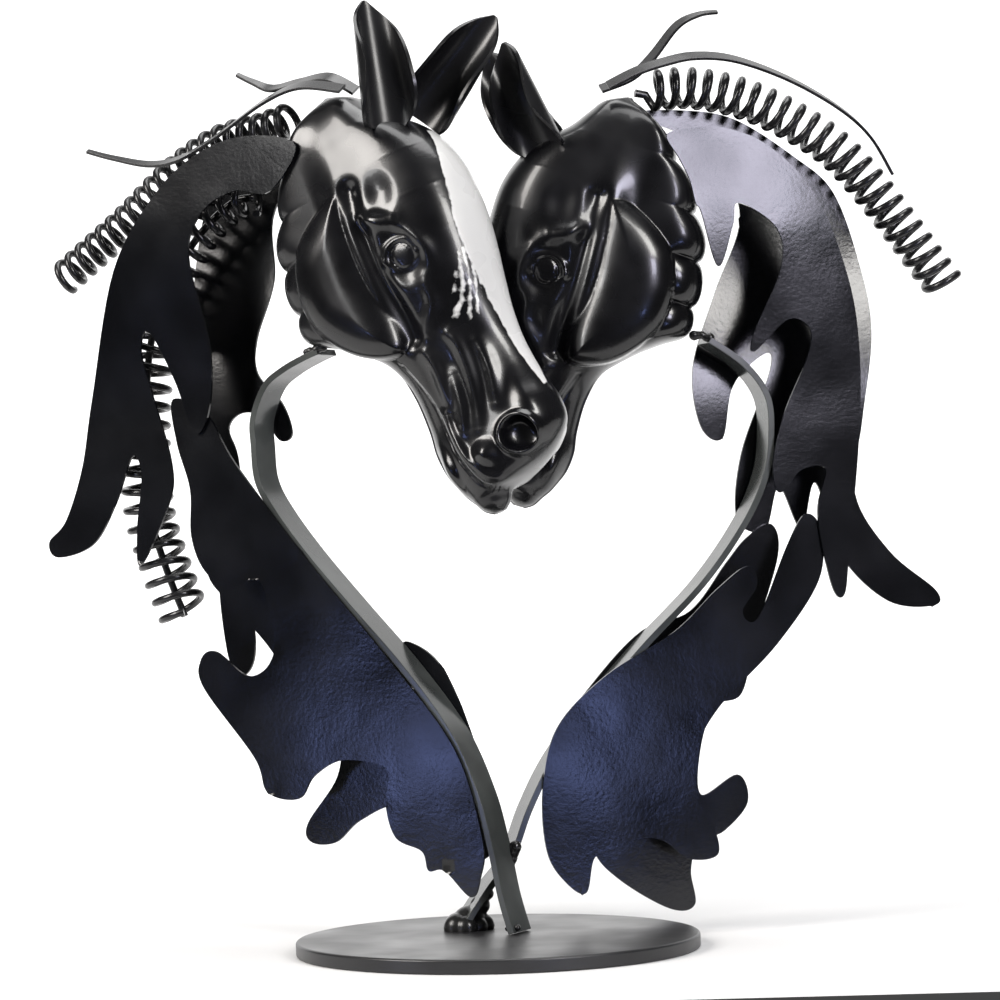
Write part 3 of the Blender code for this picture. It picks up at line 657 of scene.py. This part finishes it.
# Features on a side of the head, as distances down the face and out of it.
CHEEK = ((5, -29), (9, -42), (17, -52.5), (28, -57), (39, -57), (47, -53.5), (55, -46.5),
         (60, -38), (60.5, -31), (52, -29), (35, -30), (20, -29))
CHEEK_GROOVE = ((8, -26), (22, -26.5), (35, -27), (50, -26.5), (58, -27))
EYE = (34.5, -17.3)
UPPER_LID = ((34, -23.5), (30.8, -21), (29.6, -17.5), (31, -14), (35.5, -12.6))
LOWER_LID = ((34, -23.5), (37.6, -20.6), (38.6, -17), (37.6, -14), (35.5, -12.6))
BROW = ((7, -26), (17, -25.5), (22, -19), (24, -13))
BROW_RIM = ((24, -15), (28.4, -12.2), (33, -9.6), (37, -8.7), (43, -9.8))
CREST = ((42, -14), (51, -14.6), (56, -18.4), (61, -24))
MUSCLES = (
    ((61, -26.4), (69, -24.4), (78, -25), (86, -26)), ((72, -20), (84, -21.5), (93, -25)),
    ((60, -17), (67, -14), (82, -15.7), (95, -20)), ((66, -8), (78, -8), (90, -11)))
NOSTRIL = (100, -7.8)
LIP_BUMP = (101.4, -20.2)
LIP_LINE = (
    (64, -35.5), (72, -33), (79, -31.2), (88, -30.6), (97, -30), (104, -28.2), (109, -25.6),
    (112, -22.6))
UPPER_LIP = ((84, -28.2), (92, -28), (99, -26.8), (105, -24.2), (109.5, -20.5))

# Their relief. Ridges: line, height, width and the share of the height that is left at the ends.
# Swellings and domes: centre, reach, height. A height below 0 is a groove or a hollow.
GROOVE = ((CHEEK_GROOVE, -3.0, 3.0, 1),)
RIDGES = (
    (BROW, 2.2, 2.6, 0), (BROW_RIM, 1.5, 2.3, 0), (UPPER_LID, 1.5, 1.2, 0.6),
    (LOWER_LID, 0.8, 1.1, 0.6), (CREST, 1.5, 2.4, 0),
    *((muscle, 1.8, 2.3, 0) for muscle in MUSCLES))
SWELLINGS = (
    ((34.5, -17.5), (12, 9), -3.2), ((13, -16), (9, 7), -1.2), (LIP_BUMP, (6, 6), 2.6),
    ((92, -1), (14, 7), 1.6))
DOMES = ((EYE, (3.9, 3.6), 2.6), (NOSTRIL, (5.4, 5.4), -5.5))
NOSTRIL_RIM = (6.1, 1.0, 1.8)           # radius, width and height
LIPS = ((LIP_LINE, -1.4, 0.7, 1), (UPPER_LIP, 1.4, 1.6, 0.7))
CHIN = (((100, -36.5), (11, 4), 2.0),)
LOWER_LIP_STEP = 2.3       # how far the chin lies inside the upper lip
LIP_START = (60, 70)       # down the face, where that step sets in
LIP_EDGE = (0, 0.9)        # below the lip line, where it is reached
FEATURE_SIDE = (3, 9)      # half widths between which the features grow to their full height
LIP_SIDE = (0.5, 4)        # the same for the lips, which reach farther round
CHEEK_BASE = 1.6           # how far the cheek's edge lies inside the flange
CHEEK_RISE = 7.2
CHEEK_EDGE = 12.5          # distance from its outline over which the cheek rises

LEFT_NEAR_EAR = ((-6, -9.5, -11), (-46, 1, -8), (0, 10, -7))
LEFT_FAR_EAR = ((-7, -4, 9), (-27, 31, 14), (0, 4, -10))
RIGHT_NEAR_EAR = ((-3, -8, -10), (-31, 17, -10), (0, 8, -8))
RIGHT_FAR_EAR = ((-7, -5, 9), (-28, 23, 8), (0, 8, -8))
EAR_HALF = 15.5            # half the width of an ear's sheet before it is rolled
EAR_CURL = 9.5
EAR_TAPER = 0.35           # how much tighter an ear is rolled at its tip
EAR_WRAP = 2.0             # largest angle of the roll at each side of the middle
EAR_ROWS = 28
EAR_COLUMNS = 16           # faces at each side of the middle
# Width of an ear from its foot to its tip, as shares of its length and of EAR_HALF.
EAR_SHAPE = ((0, 0.5), (0.12, 0.8), (0.3, 1), (0.5, 0.95), (0.7, 0.7), (0.88, 0.34), (1, 0.04))

# Edges of the white blaze: distance down the face, near edge and far edge across it.
BLAZE = (
    (-2, -2, 4), (8, -8, 9), (15, -10.5, 12), (32, -13, 14), (40, -12, 13), (49, -10, 10),
    (65, -6, 8), (76, -4.5, 5), (88, -3, -1))
BLAZE_ENDS = (-1, 88)
BLAZE_DEPTH = 16           # how far it reaches behind the face line
BLAZE_FADE = 5             # distance over which its value goes from 0 to 1
# Beside the blaze, grey streaks are painted into the colour: a painted reflection on the gloss
# black.
REFLECTION_SPOT = ((50, -12), (22, 5.5))          # centre and reach of the painted reflection beside it
REFLECTION_LEVEL = (0.43, 0.12)              # least white of the painted reflection, and how much its streaks add
REFLECTION_FULL = 0.6           # share of the painted reflection's spot from which on its white is full
REFLECTION_STREAK_TURN = 4.5          # radians of the painted reflection's streaks for each millimetre across the face
SWAY = 0.8                 # most that this pattern is shifted on the way down, in radians
SWAY_TURN = 0.35           # radians of that shift's wave for each millimetre down


def along_table(s, column):
    """One column of the section table, read at distances down the face."""
    return np.interp(s, HEAD_TABLE[:, 0], HEAD_TABLE[:, column])


def spot(s, v, centre, reach):
    """1 at the centre, falling smoothly to 0 at the reach."""
    away = np.hypot((s - centre[0]) / reach[0], (v - centre[1]) / reach[1])
    return 1 - ramp(away, 0, 1)


def dome(s, v, centre, reach):
    """Half of a ball over an oval."""
    away = ((s - centre[0]) / reach[0]) ** 2 + ((v - centre[1]) / reach[1]) ** 2
    return np.sqrt(np.clip(1 - away, 0, 1))


def ring(s, v, centre, radius, width):
    """1 along a circle, falling off to both sides."""
    away = np.hypot(s - centre[0], v - centre[1]) - radius
    return np.exp(-(away / width) ** 2)


def segment_distance(s, v, a, b):
    """Distance from the line between two points, and how far along it the nearest place is."""
    run = (b[0] - a[0], b[1] - a[1])
    share = ((s - a[0]) * run[0] + (v - a[1]) * run[1]) / (run[0] ** 2 + run[1] ** 2)
    share = np.clip(share, 0, 1)
    return np.hypot(s - a[0] - share * run[0], v - a[1] - share * run[1]), share


def line_distance(s, v, line):
    """Distance from the nearest place on a line of points."""
    nearest = np.full(np.shape(s), 1e6)
    for a, b in zip(line, line[1:]):
        nearest = np.minimum(nearest, segment_distance(s, v, a, b)[0])
    return nearest


def ridge(s, v, line, width, ends=0.0):
    """1 along a smooth line through the points, falling off to both sides, and to this height
    at the two ends."""
    smooth = spline(line, 4)
    count = len(smooth) - 1
    height = np.zeros(np.shape(s))
    for i, (a, b) in enumerate(zip(smooth, smooth[1:])):
        away, share = segment_distance(s, v, a, b)
        fade = ends + (1 - ends) * np.sin(math.pi * (i + share) / count)
        height = np.maximum(height, fade * np.exp(-(away / width) ** 2))
    return height


def depth_inside(s, v, outline):
    """How far inside a closed outline each point is, and 0 outside it."""
    line = spline(outline, 6, closed=True)
    line.append(line[0])
    inside = np.zeros(np.shape(s), bool)
    for a, b in zip(line, line[1:]):
        if a[1] != b[1]:
            crossing = a[0] + (v - a[1]) * (b[0] - a[0]) / (b[1] - a[1])
            inside ^= ((a[1] > v) != (b[1] > v)) & (s < crossing)
    return np.where(inside, line_distance(s, v, line), 0)


def relief(s, v, ridges, swellings=(), domes=()):
    """Sum of the heights of these features."""
    height = np.zeros(np.shape(s))
    for line, rise, width, ends in ridges:
        height += rise * ridge(s, v, line, width, ends)
    for centre, reach, rise in swellings:
        height += rise * spot(s, v, centre, reach)
    for centre, reach, rise in domes:
        height += rise * dome(s, v, centre, reach)
    return height


def main_form(s, turn):
    """The head without its features: face, neck flange with its round lobes, and muzzle."""
    front, back, half = (along_table(s, column) for column in (1, 2, 3))
    share = ((s - FIRST_NOTCH) / LOBE_PITCH) % 1
    notch = (1 - np.sqrt(1 - (2 * share - 1) ** 2)) * (1 - ramp(s, *LOBES_END))
    back = back + NOTCH_DEPTH * notch
    middle, reach = (front + back) / 2, (front - back) / 2
    v = middle + reach * np.cos(turn)
    share = np.abs(np.cos(turn))
    power = FACE_POWER[0] + (FACE_POWER[1] - FACE_POWER[0]) * ramp(s, *POWER_CHANGE)
    face = half * np.sqrt(np.clip(1 - share ** power, 0, 1))
    rim = np.sqrt(np.clip(1 - share ** RIM_POWER, 0, 1))
    behind = ramp(-v, *FLANGE_DEPTH) * (1 - ramp(s, *FLANGE_END))
    thinned = NOTCH_THIN * notch * ramp(-v, *FLANGE_RIM)
    flange = (FLANGE_HALF - FLANGE_INSET - thinned) * rim
    flange = np.minimum(flange, face + FLANGE_SPREAD)
    return v, face + (flange - face) * behind


def with_cheek(s, v, t):
    """Raises the surface to the round cheek plate wherever that stands proud of it."""
    swell = 1 - np.clip(depth_inside(s, v, CHEEK) / CHEEK_EDGE, 0, 1)
    cheek = FLANGE_HALF - CHEEK_BASE + CHEEK_RISE * np.sqrt(1 - swell ** 2)
    return np.where((swell < 1) & (cheek > t), cheek, t)


def lip_height(s):
    """How far forward the line between the lips is."""
    return np.interp(s, [p[0] for p in LIP_LINE], [p[1] for p in LIP_LINE])


def head_surface(s, turn):
    """Forward and sideways place of the surface. turn goes round from the face to the jaw."""
    v, t = main_form(s, turn)
    side = ramp(t, *FEATURE_SIDE)
    t = with_cheek(s, v, t + side * relief(s, v, GROOVE))
    radius, width, height = NOSTRIL_RIM
    rim = height * ring(s, v, NOSTRIL, radius, width)
    t = t + side * (relief(s, v, RIDGES, SWELLINGS, DOMES) + rim)
    below = ramp(lip_height(s) - v, *LIP_EDGE) * ramp(s, *LIP_START)
    side = ramp(t, *LIP_SIDE)
    t = t + side * (relief(s, v, LIPS, CHIN) - LOWER_LIP_STEP * below)
    return v, np.maximum(t, 0)


class HeadPlace:
    """Where a head is: the way it looks (1 right, -1 left), its poll, its turn about Z and the
    lean of its face in degrees, and its muzzle's length as a share of the full one."""

    def __init__(self, look, poll, turn, lean, muzzle):
        turn, lean = math.radians(turn), math.radians(lean)
        ahead = Vector((look * math.cos(turn), look * math.sin(turn), 0))
        up = Vector((0, 0, 1))
        self.poll, self.muzzle = Vector(poll), muzzle
        self.down = ahead * math.sin(lean) - up * math.cos(lean)
        self.front = ahead * math.cos(lean) + up * math.sin(lean)
        self.side = Vector((-math.sin(turn), math.cos(turn), 0))

    def shortened(self, s):
        """Distance down the face once the muzzle is shortened."""
        return s - (1 - self.muzzle) * np.maximum(s - MUZZLE_START, 0)

    def at(self, s, v, t):
        return (self.poll + self.down * s + self.front * v + self.side * t) * MM


LEFT_POLL = (-15.0, LEFT.y + 9.3, 254.0)
RIGHT_POLL = (16.2, RIGHT.y + 17.4, 249.0)
LEFT_HEAD = HeadPlace(1, LEFT_POLL, -25, 24, 1.0)
RIGHT_HEAD = HeadPlace(-1, RIGHT_POLL, -4.5, 18, RIGHT_MUZZLE)


def head_mesh(name, points, around):
    """Closed surface through rings of points, one after another."""
    index = np.arange(len(points)).reshape(-1, around)
    after = np.roll(index, -1, axis=1)
    quads = np.stack([index[:-1], after[:-1], after[1:], index[1:]], axis=-1).reshape(-1, 4)
    faces = quads.tolist() + [index[0].tolist(), index[-1].tolist()]
    mesh = bpy.data.meshes.new(name)
    mesh.from_pydata(points.tolist(), [], faces)
    shape = bmesh.new()
    shape.from_mesh(mesh)
    bmesh.ops.recalc_face_normals(shape, faces=shape.faces)
    shape.to_mesh(mesh)
    shape.free()
    mesh.shade_smooth()
    return mesh


def head_piece(node, place, blazed):
    """A finely carved head, with the values of the blaze and of its painted reflection on its points
    where it has a blaze.
    """
    name = node + "_fine"
    rows = np.linspace(HEAD_SECTIONS[0][0], HEAD_SECTIONS[-1][0], HEAD_ROWS)
    turns = np.linspace(0, math.tau, HEAD_AROUND, endpoint=False)
    s, turn = np.meshgrid(rows, turns, indexing="ij")
    v, t = head_surface(s, turn)
    t = np.where(turn <= math.pi, t, -t)
    axes = np.array([place.down, place.front, place.side])
    points = (np.stack([place.shortened(s), v, t], axis=-1) @ axes + np.array(place.poll)) * MM
    mesh = head_mesh(name, points.reshape(-1, 3), HEAD_AROUND)
    if blazed:
        # The value 'blaze' holds the white blaze and the painted reflection beside it.
        mark = mesh.attributes.new("blaze", "FLOAT", "POINT")
        mark.data.foreach_set("value", blaze_and_reflection_value(s, v, t).ravel())
    add_piece(name, mesh, HEAD_PAINT, node)


def blaze_and_reflection_value(s, v, t):
    """Above 0.5 inside the painted blaze and below it outside, on the front of the face, and raised
    towards grey beside it by a streaky painted reflection.
    """
    along, near, far = zip(*BLAZE)
    across = np.minimum(t - np.interp(s, along, near), np.interp(s, along, far) - t)
    inside = np.minimum(across, np.minimum(s - BLAZE_ENDS[0], BLAZE_ENDS[1] - s))
    ahead = v > along_table(s, 1) - BLAZE_DEPTH
    value = np.clip(0.5 + inside / BLAZE_FADE, 0, 1) * ahead
    # Painted reflection: a streaky grey spot beside the blaze that stands in for a highlight on the
    # gloss black.
    reflection = spot(s, t, *REFLECTION_SPOT) * ahead
    streak = 0.5 + 0.5 * np.sin(REFLECTION_STREAK_TURN * t + SWAY * np.sin(SWAY_TURN * s))
    # paint here is the white level of the painted reflection.
    paint = REFLECTION_LEVEL[0] + REFLECTION_LEVEL[1] * streak
    return np.maximum(value, paint * ramp(reflection, 0, REFLECTION_FULL))


def ear(node, place, base, tip, opening):
    """Leaf of sheet metal rolled lengthwise, open towards one side."""
    name = node + "_fine"
    base, tip = place.at(*base), place.at(*tip)
    along = (tip - base).normalized()
    facing = place.at(*opening) - place.at(0, 0, 0)
    facing = (facing - along * facing.dot(along)).normalized()
    side = along.cross(facing)
    shares = np.array(spline(EAR_SHAPE, 5))
    rows = []
    for i in range(EAR_ROWS + 1):
        h = i / EAR_ROWS
        half = EAR_HALF * np.interp(h, shares[:, 0], shares[:, 1])
        radius = EAR_CURL * (1 - EAR_TAPER * h)
        row = []
        for k in range(-EAR_COLUMNS, EAR_COLUMNS + 1):
            angle = k / EAR_COLUMNS * min(half / radius, EAR_WRAP)
            shift = side * math.sin(angle) + facing * (1 - math.cos(angle))
            row.append(base.lerp(tip, h) + shift * radius * MM)
        rows.append(row)
    as_sheet(add_piece(name, grid_mesh(name, rows), EAR_PAINT, node), SHEET)


def heads():
    head_piece("left_head", LEFT_HEAD, True)
    head_piece("right_head", RIGHT_HEAD, False)
    ear("left_near_ear", LEFT_HEAD, *LEFT_NEAR_EAR)
    ear("left_far_ear", LEFT_HEAD, *LEFT_FAR_EAR)
    ear("right_near_ear", RIGHT_HEAD, *RIGHT_NEAR_EAR)
    ear("right_far_ear", RIGHT_HEAD, *RIGHT_FAR_EAR)


# Camera, light and floor, all in metres

CAMERA_PLACE = (0.0041, -1.2, 0.139)
CAMERA_LENS = 139.8
CAMERA_ROLL = 1.5          # degrees
MIDDLE = (0, 0.02, 0.15)
WHITE = (1, 1, 1)
BLUE = (0.35, 0.45, 1)
LAVENDER = (0.85, 0.83, 1)
# Place, what it points at, width and height, watts, colour.
LAMPS = {
    "window_left": ((-1.1, -0.6, 0.9), MIDDLE, (0.5, 0.8), 20, (1, 0.96, 0.92)),
    "window_right": ((0.75, -0.95, 0.8), MIDDLE, (0.3, 0.5), 9, (1, 0.98, 0.95)),
    "top": ((0.1, 0.1, 1.3), MIDDLE, (1.0, 0.8), 12, WHITE),
    "sheen_left": ((-0.55, -0.46, 0.36), (-0.08, 0.02, 0.2), (0.12, 0.12), 0.5, WHITE),
    "sheen_right": ((0.39, -0.53, 0.29), (0.08, 0.03, 0.24), (0.12, 0.12), 0.9, LAVENDER),
    "blue_left": ((-0.53, -0.4, 0.02), (-0.05, 0, 0.07), (0.06, 0.06), 0.09, BLUE),
    "blue_right": ((0.31, -0.56, 0.02), (0.02, 0.02, 0.046), (0.06, 0.06), 0.09, BLUE)}
ROOM_LIGHT = 0.06
FLOOR_FRONT = -0.13
FLOOR_HALF = 1.6           # half width
BEND_START = 1.2           # where the floor begins to curve up
BEND_RADIUS = 0.8
BEND_STEPS = 12
BACKDROP_TOP = 3.0
FLOOR_GREY = (0.7, 0.7, 0.7, 1)
FLOOR_GLOW = (0.05, 1.0)   # under the statue and from the bend on


def camera():
    """Level view along +Y, rolled a little, as the photograph was taken."""
    lens = bpy.data.cameras.new("camera")
    lens.sensor_width = 36
    lens.lens = CAMERA_LENS
    view = bpy.data.objects.new("camera", lens)
    view.location = CAMERA_PLACE
    view.rotation_euler = (math.radians(90), math.radians(CAMERA_ROLL), 0)
    bpy.context.scene.collection.objects.link(view)
    bpy.context.scene.camera = view


def softbox(name, place, target, size, power, colour):
    """Rectangular lamp at this place, turned to its target."""
    light = bpy.data.lights.new(name, "AREA")
    light.shape = "RECTANGLE"
    light.size, light.size_y = size
    light.energy = power
    light.color = colour
    lamp = bpy.data.objects.new(name, light)
    lamp.location = place
    lamp.rotation_euler = (Vector(target) - lamp.location).to_track_quat("-Z", "Y").to_euler()
    bpy.context.scene.collection.objects.link(lamp)


def studio():
    for name, lamp in LAMPS.items():
        softbox(name, *lamp)
    world = bpy.data.worlds.new("studio")
    world.use_nodes = True
    background = world.node_tree.nodes["Background"]
    background.inputs["Color"].default_value = (*WHITE, 1)
    background.inputs["Strength"].default_value = ROOM_LIGHT
    bpy.context.scene.world = world
    bpy.context.scene.view_settings.view_transform = "Standard"


def floor_paint():
    """Matt white that shines more the farther back it is."""
    material, nodes, links, shader = new_material("studio_white")
    shader.inputs["Base Color"].default_value = FLOOR_GREY
    shader.inputs["Roughness"].default_value = 0.9
    shader.inputs["Emission Color"].default_value = (*WHITE, 1)
    where = nodes.new("ShaderNodeTexCoord")
    split = nodes.new("ShaderNodeSeparateXYZ")
    links.new(where.outputs["Object"], split.inputs["Vector"])
    glow = map_range(nodes, links, split.outputs["Y"], *FLOOR_GLOW, 0.0, BEND_START)
    links.new(glow.outputs["Result"], shader.inputs["Emission Strength"])
    return material


def sweep_floor():
    """White floor that curves up into a backdrop."""
    profile = [(FLOOR_FRONT, 0), (BEND_START, 0)]
    for i in range(1, BEND_STEPS + 1):
        angle = math.radians(90 * i / BEND_STEPS)
        profile.append((BEND_START + BEND_RADIUS * math.sin(angle),
                        BEND_RADIUS - BEND_RADIUS * math.cos(angle)))
    profile.append((BEND_START + BEND_RADIUS, BACKDROP_TOP))
    rows = [[Vector((x, y, z)) for y, z in profile] for x in (-FLOOR_HALF, FLOOR_HALF)]
    mesh = grid_mesh("sweep", rows)
    mesh.materials.append(floor_paint())
    floor = bpy.data.objects.new("sweep", mesh)
    bpy.context.scene.collection.objects.link(floor)


camera()
studio()
sweep_floor()
disc()
bars()
welds()
wisps()
plates()
springs()
heads()
